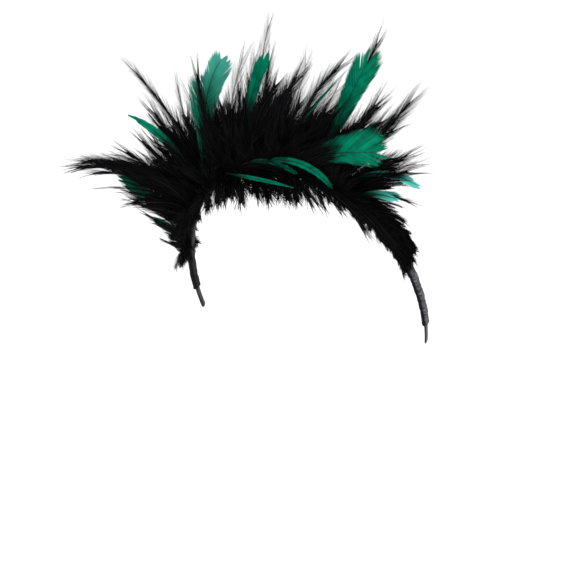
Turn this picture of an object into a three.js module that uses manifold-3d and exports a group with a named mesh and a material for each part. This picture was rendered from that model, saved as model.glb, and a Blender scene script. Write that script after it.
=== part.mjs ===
// Flapper feather headband: a narrow spring hoop wound with satin ribbon, with a
// tall crest of black hackle and green feathers standing on a felt strip along its top.
// Millimetres, +Z up, -Y the wearer's front, +X the wearer's left.
// The origin is the inner face of the wrapped band at its top centre.

import * as THREE from 'three';
import { mergeVertices } from 'three/addons/utils/BufferGeometryUtils.js';
import Module from 'manifold-3d';

const wasm = await Module();
wasm.setup();

// Band: its wrapped inner face is an elliptical arc that ends a little past the widest point
const SPAN = 152;              // inside width at the widest point
const RISE = 106;              // from the widest point up to the top
const REACH = 102;             // degrees of arc from the top to each tip
const WORN_TILT = 37;          // degrees that the top leans forward as worn
const HOOP_WIDTH = 5.4;        // front to back at the top
const HOOP_TIP_WIDTH = 4;      // front to back at the tips
const HOOP_THICKNESS = 1.2;
const BARE_TIP = 17;           // length of plain hoop past the end of the ribbon

// Satin ribbon wound round the hoop
const RIBBON_WALL = 0.6;
const RIBBON_STEP = 0.35;      // rise of each overlapping edge
const RIBBON_PITCH = 13;       // length of hoop that one turn covers
const RIBBON_CLEARANCE = 0.3;  // between ribbon and hoop

// Felt strip on the ribbon's outer face, in lengths that carry the hackles
const FELT_START = -75;        // degrees of arc, the wearer's right
const FELT_END = 62;
const FELT_WIDTH = 20;
const FELT_THICKNESS = 2.4;
const STATIONS_PER_LENGTH = 3;
const FELT_JOINT = 0.6;        // between neighbouring lengths
const SEAT_GAP = 0.3;          // under the felt and under each green quill

// Feathers
const HACKLE_LENGTH = 90;
const HACKLE_WIDTH = 9;
const SHORT_HACKLE = 0.6;      // share of HACKLE_LENGTH below which a hackle is also narrower
const HACKLE_THICKNESS = 1.6;
const GREEN_LENGTH = 80;
const GREEN_WIDTH = 16;
const GREEN_THICKNESS = 1.4;

// Rows across the felt: place as a share of its width towards the front, lean of the feather
// towards the front in degrees, and the further lean that it gains by its tip
const ROWS = {
  back: { across: -0.36, lean: -34, curl: -8 },
  backGreen: { across: -0.18, lean: -23, curl: -4 },
  middle: { across: 0, lean: -11, curl: 0 },
  frontGreen: { across: 0.18, lean: 1, curl: 2 },
  front: { across: 0.36, lean: 15, curl: 6 },
  sweep: { across: 0.43, lean: 12, curl: 12 },
  low: { across: 0.43, lean: 34, curl: 6 },
};
const FRINGE_ACROSS = 0.43;

// Stations of the black hackles along the arc. at: degrees from the top. fan: degrees from
// upright in the band's plane at the root. bend: what the fan gains by the tip. The rest are
// the lengths in each row, as shares of HACKLE_LENGTH, with 0 for none.
const STATIONS = [
  { at: -72, fan: -70, bend: -10, back: 0.2, middle: 0.28, front: 0.2 },
  { at: -67, fan: -60, bend: -12, back: 0.36, middle: 0.52, front: 0.38 },
  { at: -61, fan: -52, bend: -14, back: 0.46, middle: 0.62, front: 0.5 },
  { at: -55, fan: -40, bend: -36, back: 0.52, middle: 0.56, front: 0.92 },
  { at: -49, fan: -38, bend: -18, back: 0.62, middle: 0.64, front: 0.7 },
  { at: -43, fan: -26, bend: -12, back: 0.8, middle: 0.72, front: 0.48 },
  { at: -37, fan: -28, bend: -14, back: 0.68, middle: 0.98, front: 0 },
  { at: -31, fan: 4, bend: 8, back: 0.84, middle: 0.55, front: 0 },
  { at: -25, fan: -8, bend: -10, back: 0.4, middle: 0.82, front: 0.5 },
  { at: -19, fan: 0, bend: 6, back: 0.76, middle: 0.66, front: 0.55 },
  { at: -13, fan: 2, bend: 0, back: 0.95, middle: 0.72, front: 0.45 },
  { at: -8, fan: 6, bend: 42, back: 0.66, middle: 0.82, front: 0 },
  { at: -3, fan: 22, bend: -14, back: 0.72, middle: 0.56, front: 0.4 },
  { at: 3, fan: 22, bend: 24, back: 0.66, middle: 0.96, front: 0 },
  { at: 8, fan: 22, bend: 16, back: 0.6, middle: 0.64, front: 0.2 },
  { at: 13, fan: 26, bend: 4, back: 0.97, middle: 0.58, front: 0.2 },
  { at: 19, fan: 34, bend: 10, back: 0.62, middle: 0.78, front: 0.22 },
  { at: 25, fan: 40, bend: 12, back: 0.76, middle: 0.68, front: 0.24 },
  { at: 31, fan: 56, bend: 34, back: 0.5, middle: 0.54, front: 0.28 },
  { at: 36, fan: 68, bend: 68, back: 0.38, middle: 0.48, front: 0.28 },
  { at: 42, fan: 92, bend: 60, back: 0.3, middle: 0.38, front: 0.26 },
  { at: 48, fan: 108, bend: 44, back: 0.26, middle: 0.36, front: 0.25 },
  { at: 54, fan: 120, bend: 34, back: 0.22, middle: 0.33, front: 0.23 },
  { at: 59, fan: 130, bend: 22, back: 0.16, middle: 0.25, front: 0.18 },
];

// Short hackles at the strip's front edge that lie forward over the wearer's hair
const FRINGE = [
  { at: -47, fan: -120, lean: 56, bend: -10, length: 0.2 },
  { at: -38, fan: -150, lean: 70, bend: -10, length: 0.25 },
  { at: -29, fan: -170, lean: 72, bend: -10, length: 0.28 },
  { at: 3, fan: 150, lean: 64, bend: 10, length: 0.26 },
  { at: 8, fan: 106, lean: 34, bend: 14, length: 0.38 },
  { at: 15, fan: 112, lean: 42, bend: 14, length: 0.32 },
  { at: 22, fan: 104, lean: 24, bend: 20, length: 0.44 },
  { at: 30, fan: 116, lean: 34, bend: 20, length: 0.36 },
];

// Green feathers. length and width are shares of GREEN_LENGTH and GREEN_WIDTH, fork is the
// depth of the notch in the tip as a share of the width, nicks the cuts in one edge.
const GREENS = [
  { at: -69, row: 'frontGreen', fan: -58, bend: -6, length: 0.28, width: 0.3, fork: 0.5, nicks: 0 },
  { at: -61, row: 'frontGreen', fan: -45, bend: -14, length: 0.62, width: 0.5, fork: 0.8, nicks: 1 },
  { at: -46, row: 'frontGreen', fan: -6, bend: -50, length: 0.84, width: 0.46, fork: 0, nicks: 1 },
  { at: -44, row: 'backGreen', fan: -52, bend: -14, length: 0.86, width: 0.28, fork: 0, nicks: 0 },
  { at: -38, row: 'frontGreen', fan: 8, bend: -4, length: 0.94, width: 0.24, fork: 0, nicks: 0 },
  { at: -34, row: 'backGreen', fan: -14, bend: 48, length: 0.94, width: 0.96, fork: 0.3, nicks: 4 },
  { at: -23, row: 'low', fan: 76, bend: 30, length: 0.5, width: 0.2, fork: 0, nicks: 0 },
  { at: -20, row: 'backGreen', fan: 12, bend: 10, length: 0.84, width: 0.48, fork: 0.9, nicks: 1 },
  { at: -16, row: 'sweep', fan: 46, bend: 70, length: 0.7, width: 0.32, fork: 0, nicks: 0 },
  { at: -5.5, row: 'sweep', fan: 46, bend: 84, length: 0.66, width: 0.36, fork: 0, nicks: 0 },
  { at: -1, row: 'frontGreen', fan: 34, bend: 12, length: 1.04, width: 0.24, fork: 0, nicks: 0 },
  { at: 5.8, row: 'frontGreen', fan: 60, bend: 24, length: 0.96, width: 1.25, fork: 0.5, nicks: 1 },
  { at: 16, row: 'backGreen', fan: 23, bend: 6, length: 0.98, width: 0.98, fork: 0.8, nicks: 2 },
  { at: 22, row: 'backGreen', fan: 38, bend: 10, length: 0.52, width: 0.5, fork: 0.3, nicks: 0 },
  { at: 29, row: 'backGreen', fan: 56, bend: 84, length: 0.6, width: 0.34, fork: 0.6, nicks: 0 },
  { at: 33, row: 'frontGreen', fan: 74, bend: 60, length: 0.38, width: 0.38, fork: 0.4, nicks: 0 },
];

// Half width of a feather along its length, as shares of its width and length
const HACKLE_OUTLINE = [
  { along: 0, half: 0.16 },
  { along: 0.22, half: 0.42 },
  { along: 0.5, half: 0.5 },
  { along: 0.78, half: 0.3 },
];
const GREEN_OUTLINE = [
  { along: 0, half: 0.07 },
  { along: 0.16, half: 0.09 },
  { along: 0.3, half: 0.36 },
  { along: 0.55, half: 0.5 },
  { along: 0.82, half: 0.48 },
  { along: 1, half: 0.22 },
];
const MIN_QUILL = 1.4;         // least width of a green quill

// Cuts in a green vane, as shares of its width, or of its length for where the nicks lie
const CUTS = {
  forkSpread: 0.16,
  nickDepth: 0.16,
  nickSpread: 0.07,
  nickEdge: 0.46,
  firstNick: 0.9,
  nickSpacing: 0.13,
};
const BLADE_ROLL = 12;         // degrees that neighbouring hackles turn about their length
const SPINE_STEPS = 24;        // pieces that a curved spine is added up from

const COLOURS = {
  hoop: { color: 0x15151a, roughness: 0.3, metalness: 0 },
  ribbon: { color: 0x3b3b42, roughness: 0.38, metalness: 0 },
  hackle: { color: 0x0a0a0b, roughness: 0.75, metalness: 0 },
  green: { color: 0x04604a, roughness: 0.55, metalness: 0 },
};

const radians = THREE.MathUtils.degToRad;

// Arc of the wrapped inner face, seen from the front
function arcNormal(at) {
  const angle = radians(at);
  return new THREE.Vector3(RISE * Math.sin(angle), 0, (SPAN / 2) * Math.cos(angle)).normalize();
}

// A point over the arc: lift is outwards from the inner face, across is towards the front
function overArc(at, lift, across) {
  const angle = radians(at);
  const foot = new THREE.Vector3((SPAN / 2) * Math.sin(angle), -across, RISE * (Math.cos(angle) - 1));
  return foot.addScaledVector(arcNormal(at), lift);
}

// Millimetres of arc in one degree at a place on it
function arcScale(at) {
  const angle = radians(at);
  return radians(Math.hypot((SPAN / 2) * Math.cos(angle), RISE * Math.sin(angle)));
}

const RIBBON_END = REACH - BARE_TIP / arcScale(REACH);
const HOOP_LIFT = RIBBON_STEP + RIBBON_WALL + RIBBON_CLEARANCE;
const RIBBON_TOP = 2 * HOOP_LIFT + HOOP_THICKNESS;
const FELT_LIFT = RIBBON_TOP + SEAT_GAP;

// Skin between rings of points, each ring counter-clockwise seen from the far end
function skin(positions, faces, rings) {
  const first = positions.length / 3;
  const count = rings[0].length;
  rings.flat().forEach((point) => positions.push(point.x, point.y, point.z));
  for (let ring = 0; ring < rings.length - 1; ring++) {
    for (let k = 0; k < count; k++) {
      const a = first + ring * count + k;
      const b = first + ring * count + ((k + 1) % count);
      faces.push(a, b, b + count, a, b + count, a + count);
    }
  }
  return first;
}

function toGeometry(positions, faces) {
  const geometry = new THREE.BufferGeometry();
  geometry.setAttribute('position', new THREE.Float32BufferAttribute(positions, 3));
  geometry.setIndex(faces);
  geometry.computeVertexNormals();
  return geometry;
}

// Solid through rings, with a flat cap at each end or a point at the far end
function loft(rings, apex) {
  const positions = [];
  const faces = [];
  const count = rings[0].length;
  const first = skin(positions, faces, rings);
  const last = first + (rings.length - 1) * count;
  for (let k = 1; k < count - 1; k++) faces.push(first, first + k + 1, first + k);
  if (apex) {
    const tip = positions.length / 3;
    positions.push(apex.x, apex.y, apex.z);
    for (let k = 0; k < count; k++) faces.push(last + k, last + ((k + 1) % count), tip);
  } else {
    for (let k = 1; k < count - 1; k++) faces.push(last, last + k, last + k + 1);
  }
  return toGeometry(positions, faces);
}

// Hollow sleeve between an outer and an inner skin that share their number of ring points
function sleeve(outerRings, innerRings) {
  const positions = [];
  const faces = [];
  const count = outerRings[0].length;
  const outer = skin(positions, faces, outerRings);
  const inner = skin(positions, faces, innerRings.map((ring) => [...ring].reverse()));
  const outerLast = outer + (outerRings.length - 1) * count;
  const innerLast = inner + (innerRings.length - 1) * count;
  for (let k = 0; k < count; k++) {
    const next = (k + 1) % count;
    const mate = count - 1 - k;
    const nextMate = count - 1 - next;
    faces.push(outer + k, inner + nextMate, outer + next, outer + k, inner + mate, inner + nextMate);
    faces.push(outerLast + k, outerLast + next, innerLast + nextMate);
    faces.push(outerLast + k, innerLast + nextMate, innerLast + mate);
  }
  return toGeometry(positions, faces);
}

// Rectangle with cut corners round the band's axis: counter-clockwise seen from the +X end
function bandRing(at, bottom, top, width, swell = () => 0) {
  const half = width / 2;
  const corner = Math.min(half, (top - bottom) / 2) * 0.5;
  const outline = [
    [half, bottom + corner, 1, 0], [half - corner, bottom, 0, -1],
    [-half + corner, bottom, 0, -1], [-half, bottom + corner, -1, 0],
    [-half, top - corner, -1, 0], [-half + corner, top, 0, 1],
    [half - corner, top, 0, 1], [half, top - corner, 1, 0],
  ];
  return outline.map(([across, lift, outAcross, outLift], index) => {
    const grow = swell(index / outline.length);
    return overArc(at, lift + outLift * grow, across + outAcross * grow);
  });
}

// Hoop width at a place: it narrows to each tip
function hoopWidth(at) {
  return THREE.MathUtils.lerp(HOOP_WIDTH, HOOP_TIP_WIDTH, (at / REACH) ** 2);
}

function hoop() {
  const steps = 40;
  const tipArc = HOOP_TIP_WIDTH / 2 / arcScale(REACH);
  const places = [];
  for (let k = 0; k <= steps; k++) {
    places.push({ at: THREE.MathUtils.lerp(tipArc - REACH, REACH - tipArc, k / steps), width: 1 });
  }
  const roundedEnd = [0.95, 0.8, 0.5];
  roundedEnd.forEach((width) => {
    const fromEnd = tipArc * (1 - Math.sqrt(1 - width ** 2));
    places.unshift({ at: fromEnd - REACH, width });
    places.push({ at: REACH - fromEnd, width });
  });
  return loft(places.map(({ at, width }) =>
    bandRing(at, HOOP_LIFT, HOOP_LIFT + HOOP_THICKNESS, hoopWidth(at) * width)));
}

// Ribbon: the outer face climbs over one turn and drops at the edge of the next
function ribbonWrap() {
  const turns = Math.round((2 * RIBBON_END * arcScale(REACH / 2)) / RIBBON_PITCH);
  const stepsPerTurn = 4;
  const outerSteps = turns * stepsPerTurn;
  const innerSteps = 40;
  const outer = [];
  const inner = [];
  for (let k = 0; k <= outerSteps; k++) {
    const at = THREE.MathUtils.lerp(-RIBBON_END, RIBBON_END, k / outerSteps);
    const climb = (round) => RIBBON_STEP * THREE.MathUtils.euclideanModulo(k / stepsPerTurn + round, 1);
    const width = hoopWidth(at) + 2 * (RIBBON_WALL + RIBBON_CLEARANCE);
    outer.push(bandRing(at, RIBBON_STEP, RIBBON_TOP - RIBBON_STEP, width, climb));
  }
  for (let k = 0; k <= innerSteps; k++) {
    const at = THREE.MathUtils.lerp(-RIBBON_END, RIBBON_END, k / innerSteps);
    const bottom = HOOP_LIFT - RIBBON_CLEARANCE;
    const top = HOOP_LIFT + HOOP_THICKNESS + RIBBON_CLEARANCE;
    inner.push(bandRing(at, bottom, top, hoopWidth(at) + 2 * RIBBON_CLEARANCE));
  }
  return sleeve(outer, inner);
}

// Height of the crowned felt over its underside, at a share of its width from the middle
function feltHeight(across) {
  const shoulder = 0.25;
  const drop = Math.max(0, Math.abs(across) - shoulder) / (0.5 - shoulder);
  return FELT_THICKNESS * (1 - 0.5 * drop);
}

function feltLength(from, to) {
  const joint = FELT_JOINT / 2;
  const start = from + joint / arcScale(from);
  const end = to - joint / arcScale(to);
  const steps = 5;
  const shares = [0.5, -0.5, -0.5, -0.25, 0.25, 0.5];
  const rings = [];
  for (let k = 0; k <= steps; k++) {
    const at = THREE.MathUtils.lerp(start, end, k / steps);
    rings.push(shares.map((share, index) => {
      const lift = FELT_LIFT + (index < 2 ? 0 : feltHeight(share));
      return overArc(at, lift, share * FELT_WIDTH);
    }));
  }
  return loft(rings);
}

// Direction of a feather: fan is from upright in the band's plane, lean is towards the front
function heading(fan, lean) {
  const [turn, nod] = [radians(fan), radians(lean)];
  return new THREE.Vector3(Math.cos(nod) * Math.sin(turn), -Math.sin(nod), Math.cos(nod) * Math.cos(turn));
}

// Place and axes on a feather's curved spine at a share of its length
function spineFrame(feather, along) {
  const origin = feather.root.clone();
  const headingAt = (share) =>
    heading(feather.fan + feather.bend * share, feather.lean + feather.curl * share);
  for (let k = 0; k < SPINE_STEPS; k++) {
    const share = (along * (k + 0.5)) / SPINE_STEPS;
    origin.addScaledVector(headingAt(share), (feather.length * along) / SPINE_STEPS);
  }
  const forward = headingAt(along);
  const fan = radians(feather.fan + feather.bend * along);
  const flat = new THREE.Vector3(Math.cos(fan), 0, -Math.sin(fan));
  const side = flat.applyAxisAngle(forward, radians(feather.roll));
  const face = new THREE.Vector3().crossVectors(forward, side);
  return { origin, forward, side, face };
}

// Four-sided ring of a feather: two edges and a raised spine on each face
function featherRing({ origin, side, face }, half, rise) {
  return [
    origin.clone().addScaledVector(side, half),
    origin.clone().addScaledVector(face, rise),
    origin.clone().addScaledVector(side, -half),
    origin.clone().addScaledVector(face, -rise),
  ];
}

function hackle(feather) {
  const width = HACKLE_WIDTH * Math.min(1, 0.5 + (0.5 * feather.length) / (SHORT_HACKLE * HACKLE_LENGTH));
  const rings = HACKLE_OUTLINE.map(({ along, half }) =>
    featherRing(spineFrame(feather, along), half * width, (HACKLE_THICKNESS / 2) * (1 - along / 2)));
  return loft(rings, spineFrame(feather, 1).origin);
}

// Triangular prism that cuts a notch: its point lies depth inside an edge of the vane
function notch(frame, outwards, along, depth, opening) {
  const overshoot = GREEN_WIDTH / 3;
  const corner = (out, spread) => frame.origin.clone()
    .addScaledVector(outwards, out)
    .addScaledVector(along, spread);
  const wide = opening * ((depth + overshoot) / depth);
  const triangle = [corner(-depth, 0), corner(overshoot, -wide), corner(overshoot, wide)];
  const across = new THREE.Vector3().crossVectors(outwards, along).multiplyScalar(GREEN_THICKNESS * 2);
  return loft([-1, 1].map((end) => triangle.map((point) => point.clone().addScaledVector(across, end))));
}

function solidFrom(geometry) {
  const bare = geometry.clone();
  bare.deleteAttribute('normal');
  const merged = mergeVertices(bare, 1e-5);
  return new wasm.Manifold(new wasm.Mesh({
    numProp: 3,
    vertProperties: merged.attributes.position.array,
    triVerts: Uint32Array.from(merged.index.array),
  }));
}

function geometryFrom(solid) {
  const mesh = solid.getMesh();
  return toGeometry(Array.from(mesh.vertProperties), Array.from(mesh.triVerts));
}

function quillHalf(width) {
  return Math.max(MIN_QUILL / 2, GREEN_OUTLINE[0].half * width);
}

function greenFeather(feather, width, fork, nicks) {
  const rings = GREEN_OUTLINE.map(({ along, half }) => {
    const rise = (GREEN_THICKNESS / 2) * (1 - along / 2);
    return featherRing(spineFrame(feather, along), Math.max(quillHalf(width), half * width), rise);
  });
  const cuts = [];
  if (fork > 0) {
    const end = spineFrame(feather, 1);
    cuts.push(notch(end, end.forward, end.side, fork * width, CUTS.forkSpread * width));
  }
  for (let k = 0; k < nicks; k++) {
    const edge = spineFrame(feather, CUTS.firstNick - CUTS.nickSpacing * k);
    const outwards = edge.side.clone().negate();
    edge.origin.addScaledVector(outwards, CUTS.nickEdge * width);
    cuts.push(notch(edge, outwards, edge.forward, CUTS.nickDepth * width, CUTS.nickSpread * width));
  }
  return geometryFrom(cuts.reduce((solid, cut) => solid.subtract(solidFrom(cut)), solidFrom(loft(rings))));
}

// A feather rooted at a place on the felt, in a row across it
function rooted({ at, fan, bend }, { across, lean, curl }, length, lift, roll) {
  return { root: overArc(at, lift, across * FELT_WIDTH), fan, bend, lean, curl, length, roll };
}

// Hackles are sunk into the felt and fused to it
function hackleLocks(from, to) {
  const sunk = (across) => FELT_LIFT + 0.7 * feltHeight(across);
  const held = ({ at }) => at >= from && at < to;
  const locks = [];
  STATIONS.forEach((station, index) => {
    if (!held(station)) return;
    ['back', 'middle', 'front'].forEach((name, rank) => {
      if (station[name] === 0) return;
      const row = ROWS[name];
      const roll = BLADE_ROLL * ((index + rank) % 2 === 0 ? 1 : -1);
      locks.push(hackle(rooted(station, row, station[name] * HACKLE_LENGTH, sunk(row.across), roll)));
    });
  });
  FRINGE.filter(held).forEach((lock) => {
    const row = { across: FRINGE_ACROSS, lean: lock.lean, curl: 0 };
    locks.push(hackle(rooted(lock, row, lock.length * HACKLE_LENGTH, sunk(row.across), 0)));
  });
  return locks;
}

// A green quill stands clear of the felt by the seat gap, whatever its slant
function greenRoot(green) {
  const { across, lean } = ROWS[green.row];
  const upright = Math.min(1, heading(green.fan, lean).dot(arcNormal(green.at)));
  const corner = quillHalf(green.width * GREEN_WIDTH) * Math.sqrt(1 - upright ** 2);
  return FELT_LIFT + feltHeight(across) + SEAT_GAP + corner;
}

const headband = new THREE.Group();

function addPiece(name, geometry, colour) {
  const mesh = new THREE.Mesh(geometry, new THREE.MeshStandardMaterial(colour));
  mesh.name = name;
  headband.add(mesh);
}

addPiece('hoop', hoop(), COLOURS.hoop);
addPiece('ribbon_wrap', ribbonWrap(), COLOURS.ribbon);

// Neighbouring lengths of felt meet halfway between two stations
function feltEnd(index) {
  if (index === 0) return FELT_START;
  if (index >= STATIONS.length) return FELT_END;
  return (STATIONS[index - 1].at + STATIONS[index].at) / 2;
}

for (let k = 0; k * STATIONS_PER_LENGTH < STATIONS.length; k++) {
  const from = feltEnd(k * STATIONS_PER_LENGTH);
  const to = feltEnd((k + 1) * STATIONS_PER_LENGTH);
  const locks = hackleLocks(from, to).map(solidFrom);
  const pad = locks.reduce((solid, lock) => solid.add(lock), solidFrom(feltLength(from, to)));
  addPiece(`hackle_pad_${k + 1}`, geometryFrom(pad), COLOURS.hackle);
}

GREENS.forEach((green, index) => {
  const feather = rooted(green, ROWS[green.row], green.length * GREEN_LENGTH, greenRoot(green), 0);
  const geometry = greenFeather(feather, green.width * GREEN_WIDTH, green.fork, green.nicks);
  addPiece(`green_feather_${index + 1}`, geometry, COLOURS.green);
});

headband.rotation.x = radians(WORN_TILT);

export default headband;
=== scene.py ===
"""Flapper feather headband: a ribbon-wound hoop with a crest of black and green feathers."""

import math

import bpy
import numpy as np
from mathutils import Matrix, Vector


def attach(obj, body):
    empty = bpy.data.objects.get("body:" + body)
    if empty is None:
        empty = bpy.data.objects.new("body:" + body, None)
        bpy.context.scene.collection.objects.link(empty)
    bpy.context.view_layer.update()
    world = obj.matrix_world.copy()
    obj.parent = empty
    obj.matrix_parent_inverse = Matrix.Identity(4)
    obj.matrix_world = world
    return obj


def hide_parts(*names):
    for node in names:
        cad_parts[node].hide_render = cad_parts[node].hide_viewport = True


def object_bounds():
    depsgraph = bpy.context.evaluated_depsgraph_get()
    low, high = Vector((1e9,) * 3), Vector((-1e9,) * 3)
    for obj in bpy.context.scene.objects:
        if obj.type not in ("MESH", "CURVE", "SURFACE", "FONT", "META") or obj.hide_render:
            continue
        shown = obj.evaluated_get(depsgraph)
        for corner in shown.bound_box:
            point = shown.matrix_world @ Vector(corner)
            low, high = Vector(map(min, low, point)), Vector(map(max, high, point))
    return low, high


bl_info = {
    "name": "Feather Headband",
    "version": (1, 0, 0),
    "blender": (4, 5, 0),
    "location": "3D View > Sidebar > Headband",
    "description": "Builds a ribbon-wound hoop with a crest of hackles and dyed feathers",
    "category": "Object",
}

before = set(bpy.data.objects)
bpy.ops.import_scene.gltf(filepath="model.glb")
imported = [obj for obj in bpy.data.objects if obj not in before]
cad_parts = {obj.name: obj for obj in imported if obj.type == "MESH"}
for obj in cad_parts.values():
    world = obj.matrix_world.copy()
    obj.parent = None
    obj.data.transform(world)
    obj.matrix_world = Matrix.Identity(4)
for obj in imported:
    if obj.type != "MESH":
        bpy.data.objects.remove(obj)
CAD_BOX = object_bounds()

# Band, in metres: the wrapped inner face is an elliptical arc, tilted as it is worn
SPAN = 0.152
RISE = 0.106
REACH = 102
WORN_TILT = 37
HOOP_WIDTH = 0.0054
HOOP_TIP_WIDTH = 0.004
HOOP_THICKNESS = 0.0012
BARE_TIP = 0.017
RIBBON_WALL = 0.0006
RIBBON_STEP = 0.00035
RIBBON_CLEARANCE = 0.0003
FELT_START = -75
FELT_END = 62
FELT_WIDTH = 0.020
FELT_THICKNESS = 0.0024
SEAT_GAP = 0.0003
HOOP_LIFT = RIBBON_STEP + RIBBON_WALL + RIBBON_CLEARANCE
RIBBON_TOP = 2 * HOOP_LIFT + HOOP_THICKNESS
FELT_LIFT = RIBBON_TOP + SEAT_GAP
STATIONS_PER_LENGTH = 3
FELT_LENGTHS = 8

# Feathers
HACKLE_LENGTH = 0.090
GREEN_LENGTH = 0.080
GREEN_WIDTH = 0.016
BLADE_ROLL = 12
HACKLE_REACH = 0.018
DOWN_REACH = 0.016

# Rows across the felt: place as a share of its width towards the front, lean of the feather
# towards the front in degrees, and the further lean that it gains by its tip
ROWS = {
    "back": (-0.36, -34, -8),
    "backGreen": (-0.18, -23, -4),
    "middle": (0, -11, 0),
    "frontGreen": (0.18, 1, 2),
    "front": (0.36, 15, 6),
    "sweep": (0.43, 12, 12),
    "low": (0.43, 34, 6),
}

# Stations of the black hackles: place on the arc, fan at the root, further fan by the tip, and
# the lengths in the back, middle and front rows as shares of HACKLE_LENGTH
STATIONS = [
    (-72, -70, -10, 0.2, 0.28, 0.2),
    (-67, -60, -12, 0.36, 0.52, 0.38),
    (-61, -52, -14, 0.46, 0.62, 0.5),
    (-55, -40, -36, 0.52, 0.56, 0.92),
    (-49, -38, -18, 0.62, 0.64, 0.7),
    (-43, -26, -12, 0.8, 0.72, 0.48),
    (-37, -28, -14, 0.68, 0.98, 0),
    (-31, 4, 8, 0.84, 0.55, 0),
    (-25, -8, -10, 0.4, 0.82, 0.5),
    (-19, 0, 6, 0.76, 0.66, 0.55),
    (-13, 2, 0, 0.95, 0.72, 0.45),
    (-8, 6, 42, 0.66, 0.82, 0),
    (-3, 22, -14, 0.72, 0.56, 0.4),
    (3, 22, 24, 0.66, 0.96, 0),
    (8, 22, 16, 0.6, 0.64, 0.2),
    (13, 26, 4, 0.97, 0.58, 0.2),
    (19, 34, 10, 0.62, 0.78, 0.22),
    (25, 40, 12, 0.76, 0.68, 0.24),
    (31, 56, 34, 0.5, 0.54, 0.28),
    (36, 68, 68, 0.38, 0.48, 0.28),
    (42, 92, 60, 0.3, 0.38, 0.26),
    (48, 108, 44, 0.26, 0.36, 0.25),
    (54, 120, 34, 0.22, 0.33, 0.23),
    (59, 130, 22, 0.16, 0.25, 0.18),
]

# Short hackles at the front edge: place, fan, lean, bend and length
FRINGE = [
    (-47, -120, 56, -10, 0.2),
    (-38, -150, 70, -10, 0.25),
    (-29, -170, 72, -10, 0.28),
    (3, 150, 64, 10, 0.26),
    (8, 106, 34, 14, 0.38),
    (15, 112, 42, 14, 0.32),
    (22, 104, 24, 20, 0.44),
    (30, 116, 34, 20, 0.36),
]

# Hackles of the scene alone: place, across, fan, bend, lean, curl, length and whether it is airy
ACCENTS = [
    (-54, 0.3, -36, -32, 9, 4, 0.85, False),
    (-52, 0.2, -30, -24, 2, 4, 0.7, False),
    (-60, 0.4, -46, -14, 2, 4, 0.54, False),
    (-66, 0.4, -56, -8, 2, 4, 0.26, False),
    (-33, 0.1, -4, -4, -13, -6, 0.84, False),
    (-10, 0.1, -4, 52, -8, 0, 0.66, False),
    (24, 0, 38, 10, -14, 0, 0.64, True),
    (20, 0.1, 42, 4, -12, 0, 0.7, False),
    (30, -0.1, 58, 32, -16, 0, 0.58, True),
    (26, 0.35, 104, 40, 20, 0, 0.6, False),
    (-55, 0.36, -10, -96, 4, 22, 1.02, False),
    (-54, 0.3, -15, -92, 0, 26, 0.95, False),
    (-56, 0.4, -8, -80, 5, 12, 0.85, False),
    (-54, 0.35, -6, -80, 0, 10, 0.8, True),
    (-55, 0.33, -12, -90, 2, 18, 0.98, False),
    (-54, 0.4, -7, -97, 8, 18, 0.9, False),
    (-56, 0.3, -13, -84, -4, 24, 0.92, True),
    (-53, 0.36, -6, -84, 2, 12, 0.76, False),
    (-48, 0.2, -16, -26, -4, 0, 0.62, False),
    (-50, 0.3, -22, -24, 0, 0, 0.54, False),
    (-46, 0.1, -8, -36, -8, 0, 0.66, False),
    (-51, 0.1, -26, -26, -8, 0, 0.6, False),
    (-46, 0.25, 2, -52, -2, 0, 0.7, True),
    (-45, 0.3, 12, -70, 2, 0, 0.62, False),
    (-16, 0.47, 34, 60, 14, 0, 0.3, False),
    (-6, 0.47, 44, 60, 14, 0, 0.28, False),
    (5, 0.42, 50, 8, 2, 0, 0.52, False),
    (10, 0.42, 50, 14, 0, 0, 0.42, False),
    (-2, 0.3, 60, 8, -4, 0, 0.6, False),
    (1, 0.34, 52, 12, 0, 0, 0.5, False),
    (8, 0.45, 118, 14, 34, 4, 0.34, False),
    (18, 0.45, 108, 16, 28, 4, 0.32, False),
    (-20, 0.45, 140, 10, 60, 0, 0.24, False),
    (-24, 0.45, 128, 16, 64, 0, 0.28, False),
    (-28, 0.45, 150, 10, 62, 0, 0.22, False),
]

# How far the dense black mass stands out of the strip: place on the arc and metres
MASS = [
    (-75, 0.013), (-66, 0.028), (-56, 0.042), (-44, 0.05), (-30, 0.047), (-14, 0.042),
    (2, 0.036), (16, 0.038), (28, 0.033), (36, 0.024), (44, 0.012), (62, 0.004),
]

# Green feathers: place, row, fan, bend, length and width as shares, fork, nicks, and how pale
GREENS = [
    (-69, "frontGreen", -58, -6, 0.28, 0.3, 0.5, 0, 0.3),
    (-61, "frontGreen", -45, -14, 0.62, 0.5, 0.8, 1, 0.1),
    (-46, "frontGreen", -6, -50, 0.84, 0.46, 0, 3, 0.2),
    (-44, "backGreen", -52, -14, 0.86, 0.28, 0, 0, 0.2),
    (-38, "frontGreen", 8, -4, 0.94, 0.24, 0, 0, 0.3),
    (-34, "backGreen", -14, 48, 0.94, 0.96, 0.3, 4, 0.68),
    (-23, "low", 76, 30, 0.5, 0.2, 0, 0, 0.1),
    (-20, "backGreen", 12, 10, 0.84, 0.48, 0.9, 1, 0.15),
    (-16, "sweep", 46, 70, 0.7, 0.32, 0, 0, 0.1),
    (-5.5, "sweep", 46, 84, 0.66, 0.36, 0, 0, 0.25),
    (-1, "frontGreen", 34, 12, 1.04, 0.24, 0, 0, 0.3),
    (5.8, "frontGreen", 60, 24, 0.96, 1.25, 0.5, 1, 0.3),
    (16, "backGreen", 23, 6, 0.98, 0.98, 0.8, 2, 0.25),
    (22, "backGreen", 38, 10, 0.52, 0.5, 0.3, 0, 0.1),
    (29, "backGreen", 56, 84, 0.6, 0.34, 0.6, 0, 0.9),
    (33, "frontGreen", 74, 60, 0.38, 0.38, 0.4, 0, 0.9),
]

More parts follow.
